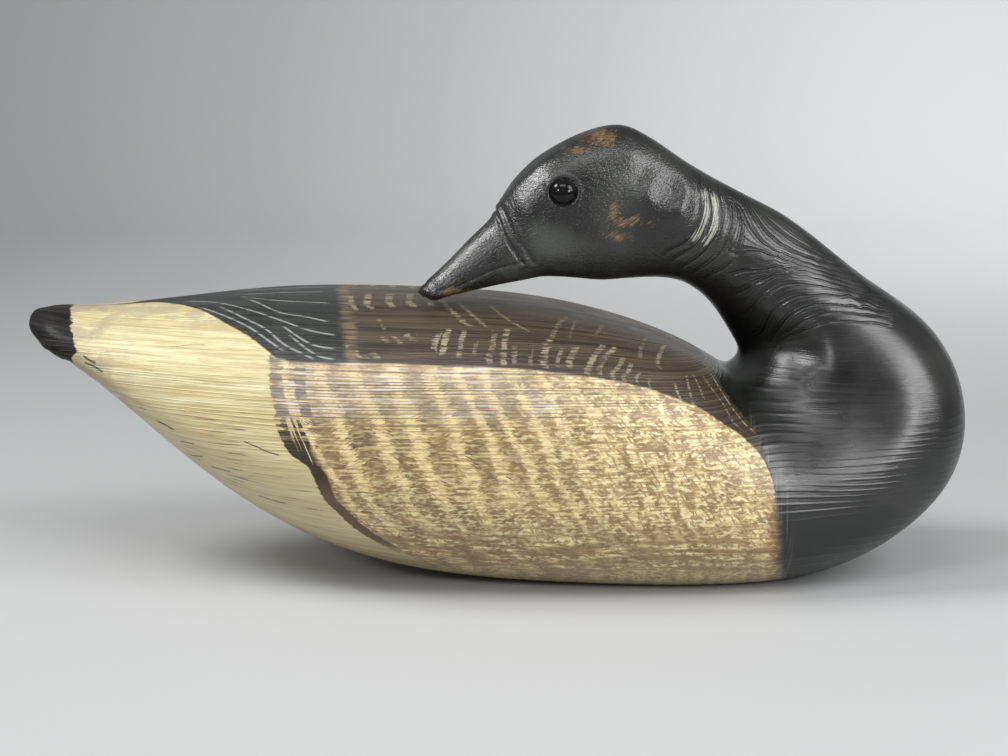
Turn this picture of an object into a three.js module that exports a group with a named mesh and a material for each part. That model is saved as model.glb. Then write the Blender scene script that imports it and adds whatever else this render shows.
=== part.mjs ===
// A goose decoy carved from wood and painted, resting with its head turned back over its body,
// with two glass eyes. Millimetres, +Z up, the breast towards +X, the bill pointing back to -X.
// The body's right side is towards -Y, and so is the left side of the turned head.
// The origin is on the surface that the decoy rests on, under the middle of its length.
import * as THREE from "three";

// Driving dimensions
const LENGTH = 540; // from the end of the tail to the front of the breast
const EYE_DIAMETER = 14; // glass eye, across its flat back
const EYE_RISE = 5.2; // height of the glass over its flat back
const EYE_EDGE = 0.6; // straight edge below the dome of the glass
const EYE_GAP = 0.3; // between the back of the glass and the wood
const EYE_INLET = 0.8; // how deep the seat lies in the side of the head
const SEAT_MARGIN = 3.2; // flat wood around each eye
const SEAT_EASE = 6; // width over which that flat runs out into the head

const SHARE = LENGTH / 100; // the form below is given in hundredths of the length
const SEGMENTS = 42; // points around a section
const EYE_SIDES = 24;
const DOME_STEPS = 6;

const PAINT = { black: 0x33363a, glass: 0x050506 };

// The form is a row of sections from the tail to the bill. Each runs from the inner line, which is
// the back, the throat and the underside of the bill, to the outer line, which is the belly, the
// breast, the nape and the crown, both as [x, z].
//   half     half of the width
//   widest   where the width is greatest, from 0 at the inner line to 1 at the outer line
//   full     how square the inner and the outer part are, where 2 is an ellipse
//   rings    how many rings of points there are up to the next section
const TAIL_END = [-50, 26.6];
const BILL_END = [-8.3, 30.8];
const SECTIONS = [
  { inner: [-49.6, 27.5], outer: [-49.5, 25.9], half: 2.6, widest: 0.6, full: [2, 2.2], rings: 1 },
  { inner: [-48.8, 28.2], outer: [-48.6, 24.9], half: 4.6, widest: 0.68, full: [2, 2.4], rings: 2 },
  { inner: [-46.8, 28.3], outer: [-46.2, 23.6], half: 6.4, widest: 0.72, full: [2, 2.4], rings: 2 },
  { inner: [-44.4, 28.2], outer: [-43.6, 21.7], half: 7.6, widest: 0.68, full: [2, 2.2], rings: 2 },
  { inner: [-40.8, 28.4], outer: [-40.2, 18.8], half: 9.2, widest: 0.62, full: [2, 2], rings: 2 },
  { inner: [-35.6, 28.8], outer: [-35.2, 14.2], half: 11.7, widest: 0.58, full: [2.3, 2], rings: 2 },
  { inner: [-29.8, 29.5], outer: [-29.6, 9.5], half: 14.2, widest: 0.56, full: [2.3, 2], rings: 2 },
  { inner: [-23.6, 30], outer: [-23.6, 5.6], half: 16.3, widest: 0.55, full: [2.5, 2.1], rings: 2 },
  { inner: [-17, 30.1], outer: [-17, 2.7], half: 17.8, widest: 0.55, full: [2.5, 2.2], rings: 2 },
  { inner: [-9, 29.9], outer: [-9, 0.3], half: 18.5, widest: 0.54, full: [2.5, 2.2], rings: 2 },
  { inner: [0, 29.5], outer: [0, -0.6], half: 18.6, widest: 0.54, full: [2.5, 2.3], rings: 2 },
  { inner: [8, 28.3], outer: [8, -0.9], half: 18.5, widest: 0.54, full: [2.5, 2.4], rings: 2 },
  { inner: [15, 26.2], outer: [16, -1.3], half: 18.1, widest: 0.53, full: [2.5, 2.4], rings: 3 },
  { inner: [20.5, 23.9], outer: [24, -1.2], half: 17.5, widest: 0.52, full: [2.4, 2.4], rings: 3 },
  { inner: [23.3, 22.3], outer: [31, -0.6], half: 16.7, widest: 0.55, full: [2.2, 2.3], rings: 3 },
  { inner: [24.2, 21.8], outer: [37.1, 0.9], half: 15.8, widest: 0.56, full: [2.1, 2.3], rings: 3 },
  { inner: [24.7, 21.8], outer: [43.4, 4.5], half: 14.8, widest: 0.56, full: [2.1, 2.4], rings: 3 },
  { inner: [25.1, 22.1], outer: [48.1, 9.4], half: 13.7, widest: 0.55, full: [2.1, 2.6], rings: 3 },
  { inner: [25.5, 22.5], outer: [49.8, 14.8], half: 12.6, widest: 0.54, full: [2.1, 3], rings: 3 },
  { inner: [25.7, 23], outer: [49.4, 20.3], half: 11.4, widest: 0.53, full: [2.1, 3], rings: 3 },
  { inner: [25.8, 23.7], outer: [47.1, 25.3], half: 10.1, widest: 0.52, full: [2.1, 2.6], rings: 3 },
  { inner: [25.5, 24.4], outer: [43.1, 28.8], half: 8.8, widest: 0.52, full: [2, 2.3], rings: 3 },
  { inner: [25, 25.3], outer: [38.9, 31.5], half: 7.7, widest: 0.52, full: [2, 2], rings: 3 },
  { inner: [24.1, 26.8], outer: [34.6, 35], half: 6.7, widest: 0.5, full: [2, 1.9], rings: 3 },
  { inner: [22.9, 28.6], outer: [30.2, 38.3], half: 5.9, widest: 0.47, full: [2, 1.85], rings: 4 },
  { inner: [21.4, 30.1], outer: [26.5, 40.2], half: 5.4, widest: 0.48, full: [2, 1.85], rings: 6 },
  { inner: [19.5, 31.3], outer: [22.9, 42.1], half: 5.2, widest: 0.5, full: [2, 1.9], rings: 6 },
  { inner: [17.4, 31.8], outer: [19.3, 44.2], half: 5.4, widest: 0.56, full: [2.1, 2], rings: 4 },
  { inner: [15.2, 31.9], outer: [16, 46.5], half: 5.3, widest: 0.5, full: [2.2, 1.9], rings: 4 },
  { inner: [12.9, 31.8], outer: [12.5, 48], half: 5, widest: 0.45, full: [2.2, 2.1], rings: 4 },
  { inner: [10.6, 31.7], outer: [9, 47.1], half: 4.9, widest: 0.44, full: [2.2, 2.8], rings: 4 },
  { inner: [8.1, 32], outer: [5.4, 45.2], half: 4.7, widest: 0.46, full: [2.2, 3.1], rings: 4 },
  { inner: [5.7, 32.2], outer: [2.6, 43.1], half: 4.2, widest: 0.48, full: [2.2, 3], rings: 4 },
  { inner: [4, 32.2], outer: [0.5, 40.1], half: 3.5, widest: 0.48, full: [2.2, 2.4], rings: 1 },
  { inner: [3.2, 32], outer: [-0.2, 38.6], half: 3, widest: 0.46, full: [2.1, 2.3], rings: 3 },
  { inner: [0.6, 31.6], outer: [-2.5, 36.7], half: 2.5, widest: 0.42, full: [2.1, 2.2], rings: 3 },
  { inner: [-2.8, 30.9], outer: [-5.1, 33.9], half: 2.1, widest: 0.4, full: [2.1, 2.1], rings: 2 },
  { inner: [-5.3, 30.3], outer: [-6.9, 32.4], half: 1.9, widest: 0.4, full: [2, 2], rings: 1 },
  { inner: [-6.8, 30], outer: [-7.8, 31.5], half: 1.4, widest: 0.45, full: [2, 2], rings: 1 },
];

// From one section on the neck leans aside, up to this far along Y at the end of the bill, and
// turns by this many degrees about the vertical until the section where the head is fully turned.
const LEAN = { from: 20, aside: -6.9, turn: 12, turned: 28 };

// Hollows and swells carved on both sides, along a line from one [x, z] to another. The depth is
// how far the side is cut in, and a swell's is below zero. They fade out towards the middle line,
// over this share of the half width.
const CARVING_FADE = 0.5;
const CARVINGS = [
  { from: [26.6, 25], to: [31, 25.2], reach: 2.5, depth: 1.6 }, // hollow under the root of the neck
  { from: [31, 19.4], to: [38, 18.6], reach: 2.8, depth: 0.5 }, // dish in the side of the breast
  { from: [14.6, 42.6], to: [16.2, 41], reach: 1.4, depth: 0.35 }, // groove behind the crown
  { from: [16.6, 38.6], to: [17.6, 38], reach: 1.8, depth: -0.4 }, // swell of the cheek
];

// Folds of the skin behind the cheek, cut across the sides of the neck
const FOLDS = { from: 24.8, to: 27, fade: 0.5, perSection: 3, depth: 0.12 };

// The eye's place on the head: the number of a section above, and an angle around it in radians,
// where 0 is the inner line
const EYE_SECTION = 31.12;
const EYE_ANGLE = 1.91;

const last = SECTIONS.length - 1;
const asideAt = (number) => LEAN.aside * Math.max(0, (number - LEAN.from) / (last - LEAN.from));
const turnAt = (number) => LEAN.turn * THREE.MathUtils.smoothstep(number, LEAN.from, LEAN.turned);
const curveOf = (pick, type) => new THREE.CatmullRomCurve3(SECTIONS.map(pick), false, type);
const lineOf = (edge) => {
  const pick = ({ [edge]: [x, z] }, number) => new THREE.Vector3(x, asideAt(number), z);
  return curveOf(pick, "centripetal");
};
const lines = {
  inner: lineOf("inner"),
  outer: lineOf("outer"),
  width: curveOf((s, number) => new THREE.Vector3(s.half, s.widest, turnAt(number)), "catmullrom"),
  full: curveOf((s) => new THREE.Vector3(...s.full, 0), "catmullrom"),
};

// Distance in the XZ plane from a point to the line of a carving, as a share of its reach
function awayFrom({ from, to, reach }, x, z) {
  const line = new THREE.Line3(new THREE.Vector3(from[0], 0, from[1]), new THREE.Vector3(to[0], 0, to[1]));
  const point = new THREE.Vector3(x, 0, z);
  return line.closestPointToPoint(point, true, new THREE.Vector3()).distanceTo(point) / reach;
}

const carvedDepth = (x, z) =>
  CARVINGS.reduce((sum, carving) => sum + carving.depth * Math.exp(-(awayFrom(carving, x, z) ** 2)), 0);

function foldDepth(place, angle) {
  const { from, to, fade, perSection, depth } = FOLDS;
  const start = THREE.MathUtils.smoothstep(place, from - fade, from);
  const end = 1 - THREE.MathUtils.smoothstep(place, to, to + fade);
  const wave = (1 - Math.cos(2 * Math.PI * perSection * place)) / 2;
  return depth * start * end * wave * Math.sin(angle) ** 2;
}

// A point of the surface in millimetres. The place counts sections from the tail, and the angle
// goes round the section from the inner line.
function skinPoint(place, angle) {
  const share = THREE.MathUtils.clamp(place / last, 0, 1);
  const [inner, outer] = [lines.inner.getPoint(share), lines.outer.getPoint(share)];
  const { x: half, y: widest, z: turn } = lines.width.getPoint(share);
  const full = lines.full.getPoint(share);
  const reach = Math.cos(angle) > 0 ? -widest : 1 - widest;
  const power = 2 / (Math.cos(angle) > 0 ? full.x : full.y);
  const along = widest + reach * Math.abs(Math.cos(angle)) ** power;
  const across = Math.sign(Math.sin(angle)) * Math.abs(Math.sin(angle)) ** power;
  const point = inner.clone().lerp(outer, along);
  const shown = Math.min(1, Math.abs(across) / CARVING_FADE);
  const cut = carvedDepth(point.x, point.z) * shown + foldDepth(place, angle);
  const aside = new THREE.Vector3(0, half * across - cut * Math.sign(across), 0);
  aside.applyAxisAngle(new THREE.Vector3(0, 0, 1), THREE.MathUtils.degToRad(turn));
  point.add(aside).multiplyScalar(SHARE);
  point.z = Math.max(point.z, 0); // the underside is planed flat
  return point;
}

// The flat that each eye is set on: its middle, and the direction that it faces
function eyeSeat(side) {
  const step = 0.25; // between the neighbours that its slope is taken from
  const [place, angle] = [EYE_SECTION, -side * EYE_ANGLE];
  const along = skinPoint(place + step, angle).sub(skinPoint(place - step, angle));
  const around = skinPoint(place, angle + step).sub(skinPoint(place, angle - step));
  const facing = along.cross(around).normalize();
  if (facing.y * side > 0) facing.negate();
  return { facing, middle: skinPoint(place, angle).addScaledVector(facing, -EYE_INLET) };
}

// Moves a point of the head onto the seat where the eye covers it, easing out around it
function pressOnto(seat, point) {
  const away = point.clone().sub(seat.middle);
  const height = away.dot(seat.facing);
  const radius = away.addScaledVector(seat.facing, -height).length();
  const flat = EYE_DIAMETER / 2 + SEAT_MARGIN;
  const hold = 1 - THREE.MathUtils.smoothstep(radius, flat, flat + SEAT_EASE);
  if (Math.abs(height) < flat) point.addScaledVector(seat.facing, -height * hold);
}

const seats = { left: eyeSeat(1), right: eyeSeat(-1) };

function ringPlaces() {
  const places = SECTIONS.flatMap(({ rings }, number) =>
    number < last ? Array.from({ length: rings }, (_, ring) => number + ring / rings) : [],
  );
  return [...places, last];
}

// The whole bird as one closed skin of rings, drawn together to a point at the tail and at the bill
function gooseGeometry() {
  const points = ringPlaces().flatMap((place) =>
    Array.from({ length: SEGMENTS }, (_, step) => skinPoint(place, (2 * Math.PI * step) / SEGMENTS)),
  );
  for (const point of points) for (const seat of Object.values(seats)) pressOnto(seat, point);
  const rings = points.length / SEGMENTS;
  const endOf = ([x, z], number) => new THREE.Vector3(x, asideAt(number), z).multiplyScalar(SHARE);
  const tail = points.push(endOf(TAIL_END, 0)) - 1;
  const bill = points.push(endOf(BILL_END, last)) - 1;
  const faces = [];
  for (let step = 0; step < SEGMENTS; step++) {
    const next = (step + 1) % SEGMENTS;
    faces.push(tail, step, next);
    for (let ring = 0; ring < rings - 1; ring++) {
      const [here, there] = [ring * SEGMENTS, (ring + 1) * SEGMENTS];
      faces.push(here + step, there + next, here + next, here + step, there + step, there + next);
    }
    faces.push(bill, (rings - 1) * SEGMENTS + next, (rings - 1) * SEGMENTS + step);
  }
  const geometry = new THREE.BufferGeometry().setFromPoints(points);
  geometry.setIndex(faces);
  geometry.computeVertexNormals();
  return geometry;
}

// A plano-convex glass eye: a flat back, a short straight edge and a dome, turned about its axis
function eyeGeometry() {
  const radius = EYE_DIAMETER / 2;
  const dome = Array.from({ length: DOME_STEPS + 1 }, (_, step) => {
    const angle = (Math.PI / 2) * (step / DOME_STEPS);
    const rise = EYE_EDGE + (EYE_RISE - EYE_EDGE) * Math.sin(angle);
    return new THREE.Vector2(step === DOME_STEPS ? 0 : radius * Math.cos(angle), rise);
  });
  return new THREE.LatheGeometry([new THREE.Vector2(0, 0), new THREE.Vector2(radius, 0), ...dome], EYE_SIDES);
}

function carvedGoose() {
  const material = new THREE.MeshStandardMaterial({ color: PAINT.black, roughness: 0.5, metalness: 0 });
  const mesh = new THREE.Mesh(gooseGeometry(), material);
  mesh.name = "carved_goose";
  return mesh;
}

function glassEye(side) {
  const material = new THREE.MeshStandardMaterial({ color: PAINT.glass, roughness: 0.05, metalness: 0 });
  const mesh = new THREE.Mesh(eyeGeometry(), material);
  const { middle, facing } = seats[side];
  mesh.name = `${side}_eye`;
  mesh.position.copy(middle).addScaledVector(facing, EYE_GAP);
  mesh.quaternion.setFromUnitVectors(new THREE.Vector3(0, 1, 0), facing);
  return mesh;
}

const goose = new THREE.Group();
goose.add(carvedGoose(), ...Object.keys(seats).map(glassEye));

export default goose;
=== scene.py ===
"""Looks of the goose decoy: its refined carving, its paint and glass eyes, and a plain studio."""
from math import cos, pi, radians, sin

import bpy
import numpy as np
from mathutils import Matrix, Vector
from numpy.linalg import norm, solve


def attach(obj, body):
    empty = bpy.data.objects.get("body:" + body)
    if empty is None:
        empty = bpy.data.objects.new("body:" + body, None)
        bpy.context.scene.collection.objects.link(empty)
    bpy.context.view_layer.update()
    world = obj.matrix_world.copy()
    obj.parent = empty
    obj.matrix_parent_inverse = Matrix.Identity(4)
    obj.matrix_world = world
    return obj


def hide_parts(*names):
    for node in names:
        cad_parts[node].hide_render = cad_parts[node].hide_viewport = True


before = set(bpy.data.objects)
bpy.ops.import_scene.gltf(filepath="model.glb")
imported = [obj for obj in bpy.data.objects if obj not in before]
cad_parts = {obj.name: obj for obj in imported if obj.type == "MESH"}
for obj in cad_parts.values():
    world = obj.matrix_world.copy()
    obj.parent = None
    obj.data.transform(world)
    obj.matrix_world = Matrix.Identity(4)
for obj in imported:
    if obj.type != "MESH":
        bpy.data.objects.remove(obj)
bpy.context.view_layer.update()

MM = 0.001

# Camera, in metres and degrees. It looks at the carving's right side from a little above.
IMAGE_WIDTH = 1008  # in pixels
LENS_MM = 85
SENSOR_MM = 36
LOOK_AT = Vector((0.0036, 0, 0.1101))
LOOK_DOWN = 11
METRES_PER_PIXEL = 0.000581  # at the middle plane of the body

# Mesh of the refined skin. The spacing of its rings changes along the middle line, which is
# measured from the end of the tail. Both are in metres.
POINTS_AROUND = 192
RING_SPACING = {
    0.0: 0.0018, 0.05: 0.0028, 0.38: 0.0026, 0.56: 0.0017, 0.6: 0.00107, 0.67: 0.00112, 0.84: 0.00092,
}
STEP_SMOOTHING = 3  # times that the solid's stepped rings are evened out

# Places along that middle line, as a pair where one part runs out into the next
TAIL = 0.1
BODY_INTO_BREAST = (0.36, 0.46)
BREAST_TURN = 0.42  # from here on the lines of neck and head are carved
BREAST_INTO_NECK = (0.46, 0.56)
NECK = (0.5, 0.7)
NECK_INTO_HEAD = (0.6, 0.66)
HEAD_INTO_FACE = (0.7, 0.75)

# Lines of the paint. Each gives one measure of the skin along another, as pairs in metres.
# "down" is the way round from the middle of the back, "x" runs to the breast and "z" upwards.
DOWN_OF_SIDE = (  # lower edge of the dark back, by x
    (-0.222, 0), (-0.197, 0.003), (-0.181, 0.017), (-0.168, 0.03), (-0.152, 0.05), (-0.137, 0.065),
    (-0.122, 0.082), (-0.113, 0.086), (-0.091, 0.089), (-0.03, 0.09), (0.034, 0.087), (0.078, 0.082),
    (0.111, 0.081), (0.134, 0.085), (0.142, 0.091), (0.147, 0.099), (0.151, 0.109), (0.153, 0.12),
)
X_OF_BREAST = (  # where the black breast begins, by z
    (0.006, 0.162), (0.023, 0.157), (0.048, 0.154), (0.07, 0.151), (0.085, 0.1465), (0.093, 0.1437),
    (0.1, 0.1375), (0.108, 0.13), (0.119, 0.123), (0.124, 0.119), (0.13, 0.112),
)
X_OF_FLANK = (  # rear edge of the barred flank, by z
    (0.01, -0.03), (0.0375, -0.07), (0.0446, -0.078), (0.054, -0.086), (0.06, -0.0916), (0.0785, -0.099),
    (0.084, -0.1076), (0.089, -0.112), (0.1, -0.117), (0.11, -0.1206), (0.12, -0.1235), (0.135, -0.1245),
)
X_OF_TAIL = (  # where the black tail ends, by down
    (0, -0.246), (0.017, -0.244), (0.033, -0.2405), (0.046, -0.2366), (0.053, -0.24),
)
HIDDEN_EDGE_LAG = 0.016  # how much further back the lower edge of the back runs on the hidden side
WING_EDGE = -0.0916  # x of the border between wings and back, on the middle line
WING_EDGE_SLANT = 0.12  # how far that border runs towards the breast for each metre down

# Brown bars of the flank: their x from the rear one to the last, for each height, in millimetres
BARS_AT_HEIGHT = {
    128: (-124, -108, -89, -69, -45, -28, -13, 0, 15, 30, 45, 60, 72, 84, 97, 110, 125),
    109: (-117, -99, -77, -57, -34, -19, -5, 9, 25, 44, 59, 73, 83, 97, 110, 122, 138),
    89: (-107, -94, -71, -51, -29, -10, 7, 20, 36, 51, 67, 78, 91, 102, 113, 127, 145),
    67: (-90, -79, -61, -42, -22, -4, 14, 31, 43, 56, 74, 86, 95, 105, 115, 126, 147),
    55: (-82, -72, -55, -38, -18, 0, 21, 36, 50, 62, 78, 89, 97, 107, 117, 129, 148),
    37: (-69, -58, -43, -25, -5, 12, 32, 47, 59, 72, 86, 97, 106, 114, 124, 136, 153),
    15: (-50, -38, -24, -6, 12, 30, 48, 62, 74, 86, 98, 108, 116, 124, 133, 143, 156),
}

# Pale lines painted on the wings, as [x, down] points in millimetres
WING_LINES = (
    ((-154, 2), (-142, 7), (-126, 8), (-100, 9)),
    ((-150, 10), (-131, 24), (-116, 30), (-95, 34)),
    ((-147, 14), (-134, 31), (-123, 44), (-111, 50), (-95, 57)),
    ((-181, 9), (-164, 18), (-148, 31), (-128, 48), (-116, 57), (-103, 65), (-90, 69)),
    ((-121, 57), (-110, 69), (-101, 76), (-90, 79)),
    ((-116, 66), (-107, 76), (-97, 84), (-90, 86)),
    ((-158, 28), (-149, 39), (-137, 52), (-127, 62), (-120, 71), (-109, 80), (-101, 85)),
    ((-170, 25), (-159, 36), (-148, 47), (-136, 59), (-126, 70), (-118, 78)),
)

# Pale flecks painted on the back, in two rows from the rear one to the last: width in millimetres,
# share of the colour, then [x, down] points in millimetres. Those of a row don't cross.
UPPER_FLECKS = (
    (3, 0.7, ((-84, 20), (-82, 36), (-78, 46))), (5, 0.8, ((-73, 12), (-73, 36), (-69, 43))),
    (2, 0.35, ((-67, 54), (-62, 65))), (4, 0.7, ((-62, 12), (-62, 31), (-59, 40))),
    (4, 0.8, ((-50, 10), (-50, 30), (-47, 38))), (3.4, 0.6, ((-40, 25), (-36, 36))),
    (3.4, 0.7, ((-32, 24), (-28, 37), (-19, 54), (-15, 58))),
    (2.4, 0.5, ((-23, 25), (-19, 35), (-13, 47), (-6, 58))),
    (2, 0.5, ((-5, 28), (1, 40), (8, 50), (18, 58))),
    (3.2, 0.45, ((39, 28), (34, 45), (31, 56), (30, 62))), (1.6, 0.3, ((44, 33), (40, 57))),
    (2, 0.3, ((60, 28), (54, 50))), (2.2, 0.35, ((84, 28), (80, 48), (79, 60))),
    (2.4, 0.6, ((95, 26), (90, 50), (89, 57), (90, 62))),
)
LOWER_FLECKS = (
    (3.4, 1, ((-85, 75), (-82, 79))), (4, 1, ((-79, 80), (-76, 85), (-72, 86))),
    (3.6, 1, ((-69, 82), (-67, 84), (-63, 87))), (3.4, 0.7, ((-66, 69), (-60, 75))),
    (2.8, 0.7, ((-58, 70), (-52, 76))), (3.2, 0.7, ((-53, 68), (-50, 69), (-46, 73))),
    (3.2, 0.9, ((-32, 67), (-34, 73), (-35, 79))), (3.8, 1, ((-27, 62), (-29, 72), (-30, 84))),
    (3, 0.7, ((-18, 62), (-20, 73), (-21, 84))), (2.2, 0.5, ((-12, 73), (-13, 83))),
    (3.2, 0.65, ((-1, 59), (-3, 76), (-5, 82), (-4, 87))),
    (3.4, 0.75, ((6, 57), (4, 70), (3, 83), (4, 87))), (2.6, 0.55, ((9.5, 72), (9, 85))),
    (2.2, 0.4, ((18, 77), (18, 85))), (3.8, 0.9, ((29, 62), (27, 70), (25, 79), (26, 85))),
    (2.4, 0.6, ((36, 68), (33, 77), (33, 83))), (3.4, 0.7, ((44, 63), (41, 72), (39, 79), (40, 82))),
    (3.4, 0.8, ((59, 56), (53, 70), (50, 79), (49, 84))),
    (3, 0.8, ((66, 55), (60, 66), (56, 76), (56, 82))),
    (2.6, 0.7, ((70, 63), (67, 72), (63, 79), (64, 83))),
    (2.4, 0.6, ((74, 66), (72, 74), (69, 79), (70, 83))), (1.8, 0.7, ((79, 71), (76, 77), (77, 81))),
    (1.4, 0.5, ((84, 74), (83, 79), (85, 82))), (1.6, 1, ((98, 70), (99, 77), (101, 81))),
    (1.4, 0.7, ((105, 58), (106, 70), (107, 79), (110, 82))),
    (1.4, 0.6, ((109, 53), (112, 62), (114, 72))),
    (1.3, 0.8, ((115, 48), (119, 57), (125, 66), (130, 78), (136, 81))),
    (1.3, 0.9, ((120, 38), (124, 51), (130, 65), (137, 75), (143, 79))),
)

# Lines carved on the sides of the neck and head, as [x, z] points in millimetres. Those of a group
# are in order, and finer cuts between them follow the same flow.
THROAT_FOLDS = (
    ((161, 139), (169, 144), (180, 150), (191, 152), (205, 151)),
    ((158, 137), (167, 148), (182, 156), (201, 156), (216, 153)),
    ((156, 141), (162, 152), (173, 160), (187, 161), (211, 157)),
    ((150, 144), (154, 155), (163, 164), (178, 166), (202, 164), (216, 158)),
    ((142, 156), (147, 164), (155, 170), (169, 172), (192, 168), (210, 163)),
    ((139, 168), (145, 173), (153, 177), (169, 177), (187, 172), (208, 165)),
    ((136, 179), (147, 180), (161, 180), (178, 177), (199, 170)),
    ((133, 189), (144, 190), (155, 187), (169, 182), (193, 174)),
    ((135, 214), (140, 204), (148, 194), (164, 186), (187, 178)),
    ((141, 214), (147, 205), (157, 195), (173, 187), (194, 179)),
    ((146, 213), (154, 205), (166, 196), (182, 187)),
    ((153, 210), (162, 203), (174, 195), (188, 187)),
    ((160, 208), (171, 199), (187, 190)),
)
CHEEK_FOLDS = (
    ((113, 226), (114, 216), (111, 205), (106, 196), (97, 191)),
    ((118, 223), (119, 214), (116, 203), (111, 194), (102, 187)),
    ((124, 223), (125, 212), (123, 201), (116, 190), (108, 183)),
    ((128, 221), (131, 211), (129, 199), (122, 187), (114, 180)),
    ((132, 220), (136, 209), (135, 196), (130, 184), (120, 176)),
)
BILL_SEAM = ((-1, 211), (0, 209), (3, 201), (8, 192), (14, 184))
BILL_RIDGE = ((3, 213), (4, 211), (8, 202), (14, 194), (20, 184))
MOUTH = ((14, 184), (1, 181), (-13, 175), (-24, 170), (-32, 168))
NAIL = ((-41, 171), (-37, 169), (-39, 164), (-44, 160))
BROW = ((0, 211), (7, 220), (13, 227), (26, 238), (36, 243))
CREASE = ((167, 120), (174, 123), (181, 125), (189, 127))
SMALL_CREASE = ((169, 118), (171, 113), (174, 106))

# Low swells on the sides of the head and a hollow on those of the breast, as x, z, radius and height
# in millimetres
SWELLS = (
    (98, 218, 10, 2.2), (76, 242, 9, 1.8), (79, 220, 7, 1.0), (14, 213, 9, 0.8), (31, 229, 6, 0.7),
    (16, 215, 6, 0.5), (200, 108, 24, -2.0),
)

# Slanting cuts of the knife on the sides of the head, as x, z and half size in millimetres, and how
# much each rises towards the breast and upwards
FACETS = (
    (73, 246, 10, -0.07, 0.06), (91, 223, 9, -0.27, 0.02),
    (106, 215, 6, -0.16, -0.04), (21, 227, 8, 0.06, -0.06),
)

# Rubbed places, as x, z and half sizes in millimetres and strength: first crown, cheek and bill
BARE_ON_HEAD = (
    (57, 253, 11, 5, 1), (44, 246, 9, 3, 0.95), (72, 207, 14, 4, 0.85), (64, 213, 4, 7, 0.85),
    (66, 199, 12, 3, 0.8), (-22, 167, 16, 3, 1),
)
BARE_ON_TAIL = ((-266, 145, 6, 4, 1),)
# Painted shade: a dark, dull spot at the root of the neck, under its overhang
PAINTED_SHADE_SPOT = (190, 124, 13, 9, 0.8)  # at the root of the neck, given in the same way

# Off-white brush strokes behind the cheek, as [x, z] points in millimetres
CHALK_STROKES = (
    ((113, 228), (117, 217), (116, 206), (111, 199), (104, 195)),
    ((117, 225), (122, 214), (122, 206), (119, 198), (112, 192)),
)
CHALK_WIDTH = 0.0042  # half width of one, in metres

# Swells and splits of the tail's end, as x, z, radius and height in millimetres
TAIL_SWELLS = (
    (-267, 151, 4, 1.2), (-266, 139, 5, 1.0), (-258, 132, 7, 2.3), (-248, 127, 7, 1.6),
    (-243, 126, 3, -1.6), (-254, 131, 1.6, -1.2), (-248, 129, 1.4, -1.2),
)

# Cracks of the rump, in two rows from the lowest up: width in millimetres, share of the colour, then
# [x, z] points in millimetres
RUMP_CRACKS = (
    (
        (0.9, 0.7, ((-133, 57), (-126, 55.5), (-117, 54.5))),
        (1.0, 0.9, ((-173, 76.5), (-168, 77.5), (-164, 78))),
        (0.9, 0.9, ((-139, 91), (-132, 88.5), (-126, 86), (-119, 84.5))),
        (0.8, 0.7, ((-200, 104), (-196, 103))),
        (1.3, 1.0, ((-233, 132), (-231, 129.5), (-228, 128.5), (-225, 127.5))),
    ),
    (
        (0.9, 0.8, ((-160, 71.5), (-154, 71.5), (-148, 71))),
        (0.9, 0.9, ((-177, 86), (-173, 86), (-168, 86))),
        (1.1, 1.0, ((-190, 97), (-185, 95.5), (-180, 93))),
        (1.2, 1.0, ((-232, 127.5), (-229, 126.5), (-227, 126), (-224, 124.5), (-221, 123))),
        (0.7, 0.4, ((-182, 138.5), (-171, 140), (-162, 140.5))),
    ),
)

# Combed and gouged wood
GROOVES_PER_METRE = 480
FURROW_SPACING = 0.0042
DEEP_CUT = 0.0008  # in metres: a cut this deep is painted wholly dark, as painted shade

# Colours, as linear red, green and blue
CREAM = (0.62, 0.56, 0.34)
CREAM_DEEP = (0.54, 0.45, 0.24)
CREAM_SHADE = (0.4, 0.32, 0.16)
CREAM_GREY = (0.33, 0.285, 0.19)
LOW_GREEN = (0.5, 0.46, 0.27)
LOW_DARK = (0.2, 0.16, 0.09)
TAN = (0.5, 0.36, 0.16)
OCHRE = (0.3, 0.2, 0.095)
PALE = (0.85, 0.74, 0.46)
TAN_LIGHT = (0.68, 0.54, 0.29)
BAR_BROWN = (0.21, 0.135, 0.065)
BAR_DARK = (0.11, 0.072, 0.04)
BAR_BLACK = (0.035, 0.024, 0.014)
BAR_SHEEN_GREY = (0.11, 0.088, 0.07)
# Painted sheen of the upper flank: a grey and pale streaks
SHEEN_GREY = (0.34, 0.27, 0.19)
SHEEN_STREAK_PALE = (0.62, 0.55, 0.48)
UMBER = (0.075, 0.058, 0.038)
UMBER_DARK = (0.028, 0.021, 0.014)
FLECK = (0.4, 0.35, 0.24)
BAND = (0.3, 0.22, 0.13)
SLATE = (0.013, 0.0145, 0.013)
SLATE_LIGHT = (0.03, 0.033, 0.03)
STROKE = (0.28, 0.3, 0.275)
TAIL_BLACK = (0.006, 0.006, 0.005)
TAIL_WORN = (0.024, 0.021, 0.016)
BLACK = (0.004, 0.005, 0.004)
BLACK_RUBBED = (0.013, 0.0145, 0.0125)
HEAD_GREY = (0.024, 0.026, 0.022)
FACE_GREY = (0.045, 0.048, 0.042)
# Painted shade, laid into cuts, folds and hollows
PAINTED_SHADE_BLACK = (0.003, 0.003, 0.003)
BARE_WOOD = (0.09, 0.05, 0.022)
BARE_LIGHT = (0.24, 0.14, 0.06)
CHALK = (0.36, 0.36, 0.31)
DIRT = (0.05, 0.042, 0.03)
GLASS = (0.004, 0.004, 0.004)
PAPER = (0.42, 0.426, 0.43)

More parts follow.
